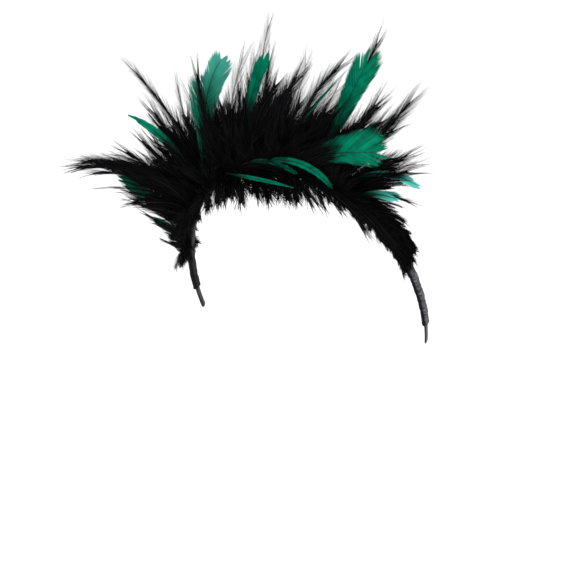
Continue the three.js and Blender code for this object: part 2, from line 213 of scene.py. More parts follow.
# Vanes of the green feathers, in the same order: further lean, fan, bend and curl, length as a
# share, whether it broadens towards its tip, how pointed the tip is, and for the left and the
# right half its width as a share and where its outer lobe ends
VANES = [
    (-6, 4, 0, 0, 1.0, False, 0.5, 1.4, 1, 1.3, 1),
    (10, 16, -8, 0, 1.08, True, 0.5, 1.5, 0.85, 1.5, 1),
    (-1, 14, -24, 0, 1.05, True, 0.7, 0.95, 0.92, 0.85, 1),
    (-4, 0, 0, 0, 0.86, False, 0.6, 0.6, 1, 0.6, 0.7),
    (-15, -8, 0, 0, 0.84, False, 0.9, 0.5, 1, 0.5, 1),
    (9, -4, 6, 0, 1.05, True, 0.0, 1.9, 0.78, 1.5, 0.97),
    (1, -22, 20, -45, 1.42, False, 0.8, 0.8, 1, 0.8, 1),
    (4, 0, 0, 0, 1.04, True, 0.0, 1.2, 0.94, 1.1, 1),
    (-4, -10, 56, -32, 0.95, False, 0.7, 0.6, 1, 0.6, 1),
    (1, -12, 60, -40, 1.12, False, 0.5, 0.8, 1, 0.8, 1),
    (-22, -2, 2, 0, 0.76, False, 0.7, 0.5, 1, 0.5, 1),
    (3, 0, 0, 0, 0.93, True, 0.0, 1.5, 1, 1.1, 0.9),
    (0, 0, 0, 0, 1.0, True, 0.0, 1.15, 0.94, 1.15, 1),
    (0, 0, 0, 0, 1.0, False, 0.5, 1.0, 1, 1.0, 0.8),
    (17, -6, 6, 0, 0.98, True, 0.1, 1.2, 0.85, 1.2, 1),
    (-18, 0, 0, 0, 0.92, True, 0.1, 1.3, 1, 1.3, 0.85),
]
GREEN_OUTLINE = [(0, 0.05), (0.12, 0.09), (0.3, 0.36), (0.55, 0.5), (0.82, 0.48), (0.94, 0.38), (1, 0.24)]
BROAD_OUTLINE = [(0, 0.05), (0.15, 0.1), (0.4, 0.27), (0.7, 0.44), (0.88, 0.52), (0.97, 0.5), (1, 0.42)]

# Black feathers that are shorter than their solids where a green vane shows in front of them
TRIMS = {
    (-55, "front"): 0.6, (-25, "middle"): 0.62, (-19, "middle"): 0.78, (-13, "middle"): 0.78,
    (-19, "front"): 0.8, (-13, "front"): 0.8, (8, "middle"): 0.85,
}


# ---------------------------------------------------------------- node graphs


class Flow:
    """A node's output that takes part in Python sums, each of which adds its node."""

    def __init__(self, graph, socket):
        self.graph = graph
        self.socket = socket

    def out(self, key):
        return Flow(self.graph, self.socket.node.outputs[key])

    def __add__(self, other):
        return self.graph.sum("ADD", self, other)

    def __radd__(self, other):
        return self.graph.sum("ADD", other, self)

    def __sub__(self, other):
        return self.graph.sum("SUBTRACT", self, other)

    def __rsub__(self, other):
        return self.graph.sum("SUBTRACT", other, self)

    def __mul__(self, other):
        return self.graph.sum("MULTIPLY", self, other)

    def __rmul__(self, other):
        return self.graph.sum("MULTIPLY", other, self)

    def __truediv__(self, other):
        return self.graph.sum("DIVIDE", self, other)

    def __rtruediv__(self, other):
        return self.graph.sum("DIVIDE", other, self)

    def __pow__(self, other):
        return self.graph.sum("POWER", self, other)

    def __neg__(self):
        return self.graph.sum("MULTIPLY", self, -1)


def is_vector(value):
    """Whether a flow or value has three parts."""
    if isinstance(value, Flow):
        return value.socket.type in {"VECTOR", "RGBA"}
    return not isinstance(value, (int, float))


class Graph:
    """Adds nodes to one shader or geometry tree."""

    def __init__(self, tree):
        self.tree = tree

    def node(self, kind, settings=None, sockets=None, out=0):
        """Adds a node: its settings first, then the values or links of its sockets."""
        made = self.tree.nodes.new(kind)
        for name, value in (settings or {}).items():
            if name == "stops":
                self.set_stops(made.color_ramp, value)
            else:
                setattr(made, name, value)
        for key, value in (sockets or {}).items():
            several = value if isinstance(value, list) else [value]
            for one in several:
                if isinstance(one, Flow):
                    self.tree.links.new(one.socket, made.inputs[key])
                else:
                    made.inputs[key].default_value = one
        return Flow(self, made.outputs[out]) if made.outputs else None

    @staticmethod
    def set_stops(ramp, stops):
        while len(ramp.elements) < len(stops):
            ramp.elements.new(0.5)
        for element, (position, colour) in zip(ramp.elements, stops):
            element.position = position
            element.color = (*colour, 1)

    def sum(self, operation, first, second):
        """A Math node, or a Vector Math node where either side is a vector."""
        if not (is_vector(first) or is_vector(second)):
            return self.node("ShaderNodeMath", {"operation": operation}, {0: first, 1: second})
        if operation == "MULTIPLY" and is_vector(first) != is_vector(second):
            vector, number = (first, second) if is_vector(first) else (second, first)
            return self.node("ShaderNodeVectorMath", {"operation": "SCALE"}, {0: vector, "Scale": number})
        return self.node("ShaderNodeVectorMath", {"operation": operation}, {0: first, 1: second})

    def math(self, operation, *values, clamp=False):
        """A Math node with one, two or three values."""
        return self.node(
            "ShaderNodeMath", {"operation": operation, "use_clamp": clamp}, dict(enumerate(values))
        )

    def noise(self, where, scale, detail=2, out=0):
        """Noise from 0 to 1 at a place."""
        return self.node("ShaderNodeTexNoise", {}, {"Vector": where, "Scale": scale, "Detail": detail}, out)

    def parts(self, vector):
        """The three parts of a vector."""
        split = self.node("ShaderNodeSeparateXYZ", {}, {0: vector})
        return split, split.out(1), split.out(2)

    def vector(self, x, y, z):
        return self.node("ShaderNodeCombineXYZ", {}, {0: x, 1: y, 2: z})

    def fit(self, value, low, high, to_low=0, to_high=1):
        """Carries value from one range into another, and holds it there."""
        sockets = {"Value": value, 1: low, 2: high, 3: to_low, 4: to_high}
        return self.node("ShaderNodeMapRange", {}, sockets)


class Shader(Graph):
    """Graph of a material that ends in one Principled surface."""

    def __init__(self, name, **constants):
        self.material = bpy.data.materials.new(name)
        self.material.use_nodes = True
        super().__init__(self.material.node_tree)
        self.surface = self.tree.nodes["Principled BSDF"]
        for key, value in constants.items():
            self.surface.inputs[key.replace("_", " ")].default_value = value

    def attribute(self, name, out="Fac"):
        return self.node("ShaderNodeAttribute", {"attribute_name": name}, {}, out)

    def place(self):
        return self.node("ShaderNodeTexCoord", {}, {}, "Object")

    def blend(self, share, first, second):
        """Mixes two colours."""
        colour = {0: share, 6: first, 7: second}
        return self.node("ShaderNodeMix", {"data_type": "RGBA"}, colour, 2)

    def feed(self, key, flow):
        self.tree.links.new(flow.socket, self.surface.inputs[key])

    def bump(self, height, strength, distance):
        sockets = {"Height": height, "Strength": strength, "Distance": distance}
        self.feed("Normal", self.node("ShaderNodeBump", {}, sockets))


class Geometry(Graph):
    """Geometry tree with named inputs."""

    def __init__(self, name, inputs):
        super().__init__(bpy.data.node_groups.new(name, "GeometryNodeTree"))
        interface = self.tree.interface
        interface.new_socket("Geometry", in_out="INPUT", socket_type="NodeSocketGeometry")
        interface.new_socket("Geometry", in_out="OUTPUT", socket_type="NodeSocketGeometry")
        for key, kind in inputs.items():
            interface.new_socket(key, in_out="INPUT", socket_type="NodeSocket" + kind)
        self.entry = self.tree.nodes.new("NodeGroupInput")
        self.exit = self.tree.nodes.new("NodeGroupOutput")

    def input(self, name):
        return Flow(self, self.entry.outputs[name])

    def attribute(self, name, kind="FLOAT"):
        return self.node("GeometryNodeInputNamedAttribute", {"data_type": kind}, {"Name": name})

    def store(self, geometry, name, value, kind="FLOAT"):
        settings = {"data_type": kind, "domain": "POINT"}
        sockets = {"Geometry": geometry, "Name": name, "Value": value}
        return self.node("GeometryNodeStoreNamedAttribute", settings, sockets)

    def random(self, low, high, seed):
        sockets = {2: low, 3: high, "Seed": seed}
        return self.node("FunctionNodeRandomValue", {"data_type": "FLOAT"}, sockets, 1)

    def finish(self, geometry, material):
        """Ends the tree in plain geometry with its material."""
        plain = self.node("GeometryNodeRealizeInstances", {}, {"Geometry": geometry})
        painted = self.node("GeometryNodeSetMaterial", {}, {"Geometry": plain, "Material": material})
        self.tree.links.new(painted.socket, self.exit.inputs[0])


def grown(name, mesh, graph, values):
    """Puts a mesh through a geometry tree and returns the result as a plain object."""
    holder = bpy.data.objects.new(name, mesh)
    bpy.context.scene.collection.objects.link(holder)
    modifier = holder.modifiers.new("Growth", "NODES")
    modifier.node_group = graph.tree
    for item in graph.tree.interface.items_tree:
        if item.item_type == "SOCKET" and item.in_out == "INPUT" and item.name in values:
            modifier[item.identifier] = values[item.name]
    evaluated = holder.evaluated_get(bpy.context.evaluated_depsgraph_get())
    result = bpy.data.meshes.new_from_object(evaluated)
    holder.modifiers.clear()
    holder.data = result
    result.name = name
    bpy.data.meshes.remove(mesh)
    return holder


def placed(name, mesh):
    """A new object that shows a mesh."""
    piece = bpy.data.objects.new(name, mesh)
    bpy.context.scene.collection.objects.link(piece)
    return piece


def seated(piece, slot, *nodes):
    """Ties a finished piece to the object's one body and hides the solids it stands for; the slot for its finish is
    not used.
    """
    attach(piece, "root")
    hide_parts(*nodes)


# ---------------------------------------------------------------- the band's arc


def radians(degrees):
    return np.radians(np.asarray(degrees, float))


def stack(x, y, z):
    return np.stack(np.broadcast_arrays(x, y, z), -1)


def arc_normal(at):
    angle = radians(at)
    normal = stack(RISE * np.sin(angle), 0.0, SPAN / 2 * np.cos(angle))
    return normal / np.linalg.norm(normal, axis=-1, keepdims=True)


def over_arc(at, lift, across):
    """A point over the arc: lift is outwards from the inner face, across is towards the front."""
    angle = radians(at)
    foot = stack(SPAN / 2 * np.sin(angle), -np.asarray(across, float), RISE * (np.cos(angle) - 1))
    return foot + np.asarray(lift, float)[..., None] * arc_normal(at)


def arc_scale(at):
    """Metres of arc in one degree at a place on it."""
    angle = radians(at)
    return math.radians(1) * np.hypot(SPAN / 2 * np.cos(angle), RISE * np.sin(angle))


def worn(points):
    """Tilts points or directions as the headband is worn."""
    turn = np.array(Matrix.Rotation(math.radians(WORN_TILT), 3, "X"))
    return np.asarray(points) @ turn.T


def hoop_width(at):
    return HOOP_WIDTH + (HOOP_TIP_WIDTH - HOOP_WIDTH) * (np.asarray(at) / REACH) ** 2


def felt_height(across):
    drop = max(0.0, abs(across) - 0.25) / 0.25
    return FELT_THICKNESS * (1 - 0.5 * drop)


RIBBON_END = float(REACH - BARE_TIP / arc_scale(REACH))


def rounded_section(width, height, radius, per_corner):
    """Points and outward directions round a rectangle with rounded corners."""
    points, outwards = [], []
    for corner_x, corner_y, start in ((1, 1, 0), (-1, 1, 90), (-1, -1, 180), (1, -1, 270)):
        centre = np.array([corner_x * (width / 2 - radius), corner_y * (height / 2 - radius)])
        for k in range(per_corner):
            angle = math.radians(start + 90 * k / (per_corner - 1))
            outward = np.array([math.cos(angle), math.sin(angle)])
            points.append(centre + radius * outward)
            outwards.append(outward)
    return np.array(points), np.array(outwards)


def grid_faces(rings, count, first=0, flip=False):
    """Quads between rings of points."""
    faces = []
    for ring in range(rings - 1):
        for k in range(count):
            a = first + ring * count + k
            b = first + ring * count + (k + 1) % count
            quad = (a, b, b + count, a + count)
            faces.append(quad[::-1] if flip else quad)
    return faces


def float_attribute(mesh, name, values):
    values = np.asarray(values, np.float32)
    kind = "FLOAT_VECTOR" if values.ndim == 2 else "FLOAT"
    attribute = mesh.attributes.new(name, kind, "POINT")
    attribute.data.foreach_set("vector" if values.ndim == 2 else "value", values.ravel())


# ---------------------------------------------------------------- hoop and ribbon


def hoop_mesh():
    """The springy hoop: a flat bar with rounded edges and round tips."""
    tip = HOOP_TIP_WIDTH / 2 / float(arc_scale(REACH))
    places = [(at, 1.0) for at in np.linspace(tip - REACH, REACH - tip, 161)]
    for share in (0.97, 0.88, 0.74, 0.56, 0.36, 0.16):
        back = tip * (1 - math.sqrt(1 - share**2))
        places = [(back - REACH, share), *places, (REACH - back, share)]
    rings = []
    for at, share in places:
        width = float(hoop_width(at)) * share
        height = HOOP_THICKNESS * (0.4 + 0.6 * share)
        section, _ = rounded_section(width, height, min(width, height) * 0.42, 4)
        middle = HOOP_LIFT + HOOP_THICKNESS / 2
        rings.append(over_arc(at, middle + section[:, 1], section[:, 0]))
    count = len(rings[0])
    verts = worn(np.concatenate(rings))
    faces = grid_faces(len(rings), count)
    faces.append(tuple(range(count))[::-1])
    faces.append(tuple((len(rings) - 1) * count + k for k in range(count)))
    mesh = bpy.data.meshes.new("hoop_band")
    mesh.from_pydata(verts.tolist(), [], faces)
    outward(mesh)
    mesh.shade_smooth()
    return mesh


def outward(mesh):
    """Turns a closed mesh right side out if its signed volume is below nothing."""
    mesh.calc_loop_triangles()
    corners = np.array([t.vertices[:] for t in mesh.loop_triangles])
    co = np.zeros(len(mesh.vertices) * 3)
    mesh.vertices.foreach_get("co", co)
    a, b, c = co.reshape(-1, 3)[corners.T]
    if np.einsum("ij,ij->", a, np.cross(b, c)) < 0:
        mesh.flip_normals()


def sleeve_mesh():
    """A plain sleeve round the hoop that the winding tree turns into wound ribbon."""
    outer_rings, inner_rings, per_corner = 500, 60, 10
    positions, along, round_, out, facing = [], [], [], [], []
    for rings, inner in ((outer_rings, False), (inner_rings, True)):
        for at in np.linspace(-RIBBON_END, RIBBON_END, rings):
            wall = RIBBON_CLEARANCE + (0 if inner else RIBBON_WALL)
            width = float(hoop_width(at)) + 2 * wall
            height = HOOP_THICKNESS + 2 * wall
            section, outwards = rounded_section(width, height, height * 0.42, per_corner)
            middle = HOOP_LIFT + HOOP_THICKNESS / 2
            foot = over_arc(at, middle + section[:, 1], section[:, 0])
            positions.append(foot)
            normal = arc_normal(at)
            out.append(outwards[:, 1:] * normal + outwards[:, :1] * np.array([0, -1, 0]))
            facing.append(outwards[:, 1])
            steps = np.linalg.norm(np.diff(section, axis=0, append=section[:1]), axis=1)
            round_.append(np.concatenate([[0], np.cumsum(steps)[:-1]]) / steps.sum())
            along.append(np.full(len(section), at))
    count = 4 * per_corner
    first_inner = outer_rings * count
    faces = grid_faces(outer_rings, count) + grid_faces(inner_rings, count, first_inner, True)
    last_outer, last_inner = (outer_rings - 1) * count, first_inner + (inner_rings - 1) * count
    for k in range(count):
        n = (k + 1) % count
        faces.append((k, first_inner + k, first_inner + n, n))
        faces.append((last_outer + n, last_inner + n, last_inner + k, last_outer + k))
    mesh = bpy.data.meshes.new("sleeve")
    mesh.from_pydata(worn(np.concatenate(positions)).tolist(), [], faces)
    outward(mesh)
    places = np.concatenate(along)
    fine = np.linspace(-RIBBON_END, RIBBON_END, 2000)
    metres = np.concatenate([[0], np.cumsum(arc_scale(fine[1:]) * np.diff(fine))])
    float_attribute(mesh, "metres", np.interp(places, fine, metres))
    float_attribute(mesh, "round", np.concatenate(round_))
    float_attribute(mesh, "outward", worn(np.concatenate(out)))
    float_attribute(mesh, "outer", np.arange(len(places)) < first_inner)
    float_attribute(mesh, "facing", np.concatenate(facing))
    return mesh


def winding_tree():
    """Ribbon wound round a sleeve: each turn climbs over the last, with creases along it."""
    graph = Geometry(
        "Ribbon Winding",
        {
            "Turn Pitch": "Float",
            "Edge Step": "Float",
            "Crease Depth": "Float",
            "Creases per Turn": "Float",
            "Material": "Material",
        },
    )
    sleeve = graph.input("Geometry")
    metres = graph.attribute("metres")
    wobble = graph.noise(graph.vector(metres, 0, 0), 90, 1) - 0.5
    turns = metres / graph.input("Turn Pitch") - graph.attribute("round") + 0.12 * wobble
    phase = graph.math("FRACT", turns + 40)
    climb = graph.math("MINIMUM", phase, (1 - phase) * 18)
    lengthwise = graph.vector(phase * graph.input("Creases per Turn"), metres * 60, graph.attribute("round") * 1.5)
    crease = graph.noise(lengthwise, 1, 3) - 0.5
    near_edge = graph.fit(phase, 0.7, 1, 1, 0.3)
    height = graph.input("Edge Step") * climb + graph.input("Crease Depth") * crease * near_edge * 2
    offset = graph.attribute("outward", "FLOAT_VECTOR") * (height * graph.attribute("outer"))
    moved = graph.node("GeometryNodeSetPosition", {}, {"Geometry": sleeve, "Offset": offset})
    moved = graph.store(moved, "phase", phase)
    moved = graph.store(moved, "crease", crease)
    smooth = graph.node("GeometryNodeSetShadeSmooth", {}, {"Geometry": moved})
    graph.finish(smooth, graph.input("Material"))
    return graph


# ---------------------------------------------------------------- feathers


def heading(fan, lean):
    """Direction of a feather: fan in the band's plane from upright, lean towards the front."""
    turn, nod = radians(fan), radians(lean)
    return stack(np.cos(nod) * np.sin(turn), -np.sin(nod), np.cos(nod) * np.cos(turn))


class Feather:
    """One feather's shaft and the barbs that it carries."""

    def __init__(self, at, across, fan, bend, lean, curl, length, roll, lift, sway=(0, 0)):
        self.root = over_arc(at, lift, across * FELT_WIDTH)
        self.at, self.across = at, across
        self.fan, self.bend, self.lean, self.curl = fan, bend, lean, curl
        self.length = length
        self.roll = roll
        self.sway = sway

    def angles(self, along):
        """Fan and lean at shares of the length, with a slight double bend."""
        wave = np.sin(5 * along)
        fan = self.fan + self.bend * along + self.sway[0] * wave
        return fan, self.lean + self.curl * along + self.sway[1] * wave

    def frames(self, along):
        """Places and axes on the curved shaft at shares of its length."""
        step = along[1] - along[0]
        middles = along[:-1] + step / 2
        headings = heading(*self.angles(middles))
        places = np.concatenate([[self.root], self.root + np.cumsum(headings, 0) * step * self.length])
        forward = heading(*self.angles(along))
        fan = radians(self.angles(along)[0])
        flat = stack(np.cos(fan), 0.0, -np.sin(fan))
        roll = radians(self.roll)
        side = flat * np.cos(roll) + np.cross(forward, flat) * np.sin(roll)
        return worn(places), worn(forward), worn(side), worn(np.cross(forward, side))


class Shafts:
    """Gathers shafts, with what each place on them says of its barbs, into one mesh of edges."""

    FIELDS = (
        "along", "metres", "feather", "reach_left", "reach_right", "angle_left", "angle_right",
        "shaft", "fine", "coarse", "tint",
    )

    def __init__(self):
        self.points, self.edges = [], []
        self.axes = {"forward": [], "side": [], "face": []}
        self.values = {name: [] for name in self.FIELDS}
        self.total = 0
        self.feathers = 0

    def add(self, feather, step, share, **fields):
        """Adds a shaft that is share of the feather's length, with a place every step metres."""
        count = max(6, int(round(feather.length * share / step)))
        along = np.linspace(0, share, count)
        places, forward, side, face = feather.frames(along)
        self.points.append(places)
        for name, axis in zip(self.axes, (forward, side, face)):
            self.axes[name].append(axis)
        fields = dict(fields, along=along, metres=along * feather.length, feather=float(self.feathers))
        for name in self.FIELDS:
            value = fields[name]
            value = value(along) if callable(value) else value
            self.values[name].append(np.broadcast_to(value, count))
        ids = np.arange(self.total, self.total + count)
        self.edges.append(np.stack([ids[:-1], ids[1:]], 1))
        self.total += count
        self.feathers += 1

    def mesh(self, name):
        mesh = bpy.data.meshes.new(name)
        points = np.concatenate(self.points)
        edges = np.concatenate(self.edges)
        mesh.vertices.add(len(points))
        mesh.vertices.foreach_set("co", points.ravel())
        mesh.edges.add(len(edges))
        mesh.edges.foreach_set("vertices", edges.ravel())
        for key, axis in self.axes.items():
            float_attribute(mesh, key, np.concatenate(axis))
        for key, value in self.values.items():
            float_attribute(mesh, key, np.concatenate(value))
        mesh.update()
        return mesh


def barb_tree():
    """Grows barbs on both sides of each shaft, gathered into tufts, and the shafts themselves."""
    graph = Geometry(
        "Feather Barbs",
        {
            "Barb Spacing": "Float",
            "Barb Width": "Float",
            "Barb Thickness": "Float",
            "Barb Pieces": "Int",
            "Taper": "Float",
            "Curl": "Float",
            "Tuft Length": "Float",
            "Tuft Angle": "Float",
            "Raggedness": "Float",
            "Loft": "Float",
            "Seed": "Int",
            "Barb Material": "Material",
            "Shaft Material": "Material",
        },
    )
    shafts = graph.node("GeometryNodeMeshToCurve", {}, {"Mesh": graph.input("Geometry")})
    gap = graph.input("Barb Spacing") * graph.attribute("coarse")
    spaced = graph.node("GeometryNodeResampleCurve", {"mode": "LENGTH"}, {"Curve": shafts, "Length": gap})
    points = graph.node("GeometryNodeCurveToPoints", {"mode": "EVALUATED"}, {"Curve": spaced})
    pairs = graph.node("GeometryNodeDuplicateElements", {"domain": "POINT"}, {"Geometry": points, "Amount": 2})
    hand = pairs.out("Duplicate Index") * 2 - 1
    barbs = graph.store(pairs, "hand", hand)

    hand = graph.attribute("hand")
    right = (hand + 1) * 0.5
    reach = graph.attribute("reach_left") * (1 - right) + graph.attribute("reach_right") * right
    angle = graph.attribute("angle_left") * (1 - right) + graph.attribute("angle_right") * right
    seed = graph.input("Seed")
    tuft = graph.attribute("metres") / graph.input("Tuft Length")
    lane = graph.attribute("feather") * 7.31 + hand * 2.7 + seed
    gather = graph.noise(graph.vector(tuft, lane, 0), 1, 1) - 0.5
    rag = graph.noise(graph.vector(tuft * 1.7, lane, 40), 1, 2) - 0.5
    wave = graph.noise(graph.vector(tuft * 0.8, lane, 80), 1, 1) - 0.5
    angle = angle + graph.input("Tuft Angle") * (gather * 2 + graph.random(-0.12, 0.12, seed))
    length = reach * (1 + graph.input("Raggedness") * (rag * 2 + graph.random(-0.16, 0.16, seed + 1)))
    tilt = graph.input("Loft") * graph.attribute("coarse") * (wave * 2 + graph.random(-0.3, 0.3, seed + 2))
    barbs = graph.store(barbs, "barb_angle", graph.math("MAXIMUM", angle, 0.03))
    barbs = graph.store(barbs, "barb_length", graph.math("MAXIMUM", length, 0.0002))
    barbs = graph.store(barbs, "barb_tilt", tilt)
    barbs = graph.store(barbs, "grain", graph.random(0, 1, seed + 3))

    cone = graph.node(
        "GeometryNodeMeshCone",
        {},
        {
            "Vertices": 3,
            "Side Segments": graph.input("Barb Pieces"),
            "Radius Top": 0,
            "Radius Bottom": 1,
            "Depth": 1,
        },
    )
    cone = graph.store(cone, "unit", graph.node("GeometryNodeInputPosition"), "FLOAT_VECTOR")
    grown_barbs = graph.node("GeometryNodeInstanceOnPoints", {}, {"Points": barbs, "Instance": cone})
    grown_barbs = graph.node("GeometryNodeRealizeInstances", {}, {"Geometry": grown_barbs})

    unit = graph.attribute("unit", "FLOAT_VECTOR")
    flat, thick, reached = graph.parts(unit)
    root = graph.node("GeometryNodeInputPosition") - unit
    taper = graph.math("MAXIMUM", 1 - reached, 0.001)
    narrowing = 1 - graph.math("POWER", reached, graph.input("Taper"))
    width = graph.input("Barb Width") * graph.attribute("fine") * narrowing / taper * flat
    depth = graph.input("Barb Thickness") * narrowing / taper * thick
    angle = graph.attribute("barb_angle") * (1 - graph.input("Curl") * 0.5 * reached)
    forward = graph.attribute("forward", "FLOAT_VECTOR")
    side = graph.attribute("side", "FLOAT_VECTOR") * graph.attribute("hand")
    face = graph.attribute("face", "FLOAT_VECTOR")
    sine, cosine = graph.math("SINE", angle), graph.math("COSINE", angle)
    along_barb = side * sine + forward * cosine
    across_barb = (side * cosine - forward * sine) * graph.attribute("hand")
    rise = face * (graph.attribute("barb_tilt") * reached * reached)
    span = graph.attribute("barb_length") * reached
    place = root + (along_barb + rise) * span + across_barb * width + face * depth
    grown_barbs = graph.node("GeometryNodeSetPosition", {}, {"Geometry": grown_barbs, "Position": place})
    grown_barbs = graph.store(grown_barbs, "out", reached)
    grown_barbs = graph.node(
        "GeometryNodeSetMaterial", {}, {"Geometry": grown_barbs, "Material": graph.input("Barb Material")}
    )

    sparse = graph.node("GeometryNodeResampleCurve", {"mode": "LENGTH"}, {"Curve": shafts, "Length": 0.0025})
    ring = graph.node("GeometryNodeCurvePrimitiveCircle", {}, {"Resolution": 5, "Radius": 1.0})
    quills = graph.node(
        "GeometryNodeCurveToMesh",
        {},
        {"Curve": sparse, "Profile Curve": ring, "Scale": graph.attribute("shaft"), "Fill Caps": True},
    )
    quills = graph.store(quills, "out", 0.0)
    quills = graph.node("GeometryNodeSetShadeSmooth", {}, {"Geometry": quills})
    quills = graph.node(
        "GeometryNodeSetMaterial", {}, {"Geometry": quills, "Material": graph.input("Shaft Material")}
    )
    joined = graph.node("GeometryNodeJoinGeometry", {}, {"Geometry": [quills, grown_barbs]})
    plain = graph.node("GeometryNodeRealizeInstances", {}, {"Geometry": joined})
    graph.tree.links.new(plain.socket, graph.exit.inputs[0])
    return graph


SPENT_FIELDS = (
    "forward", "side", "face", "unit", "hand", "feather", "reach_left", "reach_right", "angle_left",
    "angle_right", "shaft", "fine", "coarse", "barb_angle", "barb_length", "barb_tilt",
)


def drop_spent(mesh):
    """Removes the attributes that only the growing needed."""
    for name in SPENT_FIELDS:
        attribute = mesh.attributes.get(name)
        if attribute is not None:
            mesh.attributes.remove(attribute)


def hackle_fields(length, generator, airy):
    """What a hackle's shaft says of its barbs: downy at the root, then long and close to it."""
    reach = min(HACKLE_REACH, 0.38 * length) * generator.uniform(0.85, 1.15)
    places = [0, 0.05, 0.2, 0.5, 0.8, 1]
    reaches = [0.2, 0.5, 0.8, 1, 0.95, 0.8]
    angles = [48, 40, 28, 20, 13, 6]
    skew = generator.uniform(-2, 2)
    fine = 0.55 if airy else 0.95
    return {
        "reach_left": lambda along: reach * np.interp(along, places, reaches),
        "reach_right": lambda along: reach * np.interp(along, places, reaches),
        "angle_left": lambda along: np.radians(np.interp(along, places, angles) + skew),
        "angle_right": lambda along: np.radians(np.interp(along, places, angles) - skew),
        "shaft": lambda along: np.interp(along, [0, 0.5, 0.96], [0.00042, 0.00026, 0.00007]),
        "fine": lambda along: fine * np.interp(along, [0, 0.5, 1], [1.3, 1, 0.6]),
        "coarse": 1.9 if airy else 1.45,
        "tint": generator.uniform(0, 1),
    }


def down_fields(length, generator):
    """What the shaft of a soft, broad feather low in the crest says of its barbs."""
    reach = min(DOWN_REACH, 0.42 * length) * generator.uniform(0.85, 1.15)
    places = [0, 0.08, 0.4, 0.8, 1]
    reaches = [0.4, 0.8, 1, 0.85, 0.6]
    angles = [60, 50, 34, 19, 6]
    return {
        "reach_left": lambda along: reach * np.interp(along, places, reaches),
        "reach_right": lambda along: reach * np.interp(along, places, reaches),
        "angle_left": lambda along: np.radians(np.interp(along, places, angles)),
        "angle_right": lambda along: np.radians(np.interp(along, places, angles)),
        "shaft": lambda along: np.interp(along, [0, 1], [0.00035, 0.00008]),
        "fine": lambda along: np.interp(along, [0, 0.6, 1], [2.4, 2.0, 1.2]),
        "coarse": 2.2,
        "tint": generator.uniform(0, 0.6),
    }


def hackle_share(length):
    """The shaft's share of a hackle, whose last barbs run on past it."""
    return 1 - 0.62 * min(HACKLE_REACH, 0.38 * length) / length


def lie_of(at, fan, lean, row):
    """Fan and lean of a black feather: raised at the low end of the crest, flatter at the other.

    In the middle the front row stands back behind the green feathers that sweep across it.
    """
    low = float(np.clip((-56 - at) / 12, 0, 1))
    flat = float(np.clip((at - 34) / 12, 0, 1))
    behind = float(np.interp(at, [-30, -24, 26, 34], [0, 17, 17, 0])) if row == "front" else 0
    return fan + 9 * low + 14 * flat, (lean - 20 * low - behind) * (1 - 0.5 * flat)


def along_band(at):
    """Fan of a feather that lies along the band towards the wearer's left."""
    angle = radians(at)
    return float(np.degrees(np.arctan2(SPAN / 2 * np.cos(angle), -RISE * np.sin(angle))))


def hackles_by_length():
    """Each felt length's hackles, as the feathers and whether they are airy."""
    bunches = [[] for _ in range(FELT_LENGTHS)]
    places = [station[0] for station in STATIONS]

    def bunch_at(at):
        near = int(np.argmin([abs(place - at) for place in places]))
        return bunches[near // STATIONS_PER_LENGTH]

    for index, (at, fan, bend, *lengths) in enumerate(STATIONS):
        for rank, (row, share) in enumerate(zip(("back", "middle", "front"), lengths)):
            if share == 0:
                continue
            across, lean, curl = ROWS[row]
            roll = BLADE_ROLL * (1 if (index + rank) % 2 == 0 else -1)
            lift = FELT_LIFT + 0.7 * felt_height(across)
            length = share * HACKLE_LENGTH * float(np.interp(at, [30, 46], [1, 0.66]))
            length *= TRIMS.get((at, row), 1)
            airy = row == "back" and -45 < at < 10
            turned, nod = lie_of(at, fan, lean, row)
            sway = (7 * math.sin(3.1 * at + rank), 6 * math.sin(2.3 * at + 2 * rank))
            feather = Feather(at, across, turned, bend, nod, curl, length, roll, lift, sway)
            bunches[index // STATIONS_PER_LENGTH].append((feather, airy))
    edge_lift = FELT_LIFT + 0.7 * felt_height(0.43)
    for at, fan, lean, bend, share in FRINGE:
        feather = Feather(at, 0.43, fan, bend, lean, 0, share * HACKLE_LENGTH, 0, edge_lift)
        bunch_at(at).append((feather, False))
    for at, across, fan, bend, lean, curl, share, airy in ACCENTS:
        lift = FELT_LIFT + 0.7 * felt_height(across)
        feather = Feather(at, across, fan, bend, lean, curl, share * HACKLE_LENGTH, 0, lift)
        bunch_at(at).append((feather, airy))
    return bunches


def companion(feather, generator, spread):
    """A shorter feather that shares another's root and strays a little from it."""
    stray = generator.uniform(-1, 1, 6)
    return Feather(
        feather.at + 1.4 * stray[0],
        feather.across + 0.05 * stray[1],
        feather.fan + spread * stray[2],
        feather.bend + 14 * stray[3],
        feather.lean + 0.8 * spread * stray[4],
        feather.curl,
        feather.length * generator.uniform(0.5, 0.86),
        feather.roll + 40 * stray[5],
        FELT_LIFT + 0.6 * felt_height(min(0.48, abs(feather.across))),
        (12 * stray[3], 10 * stray[0]),
    )


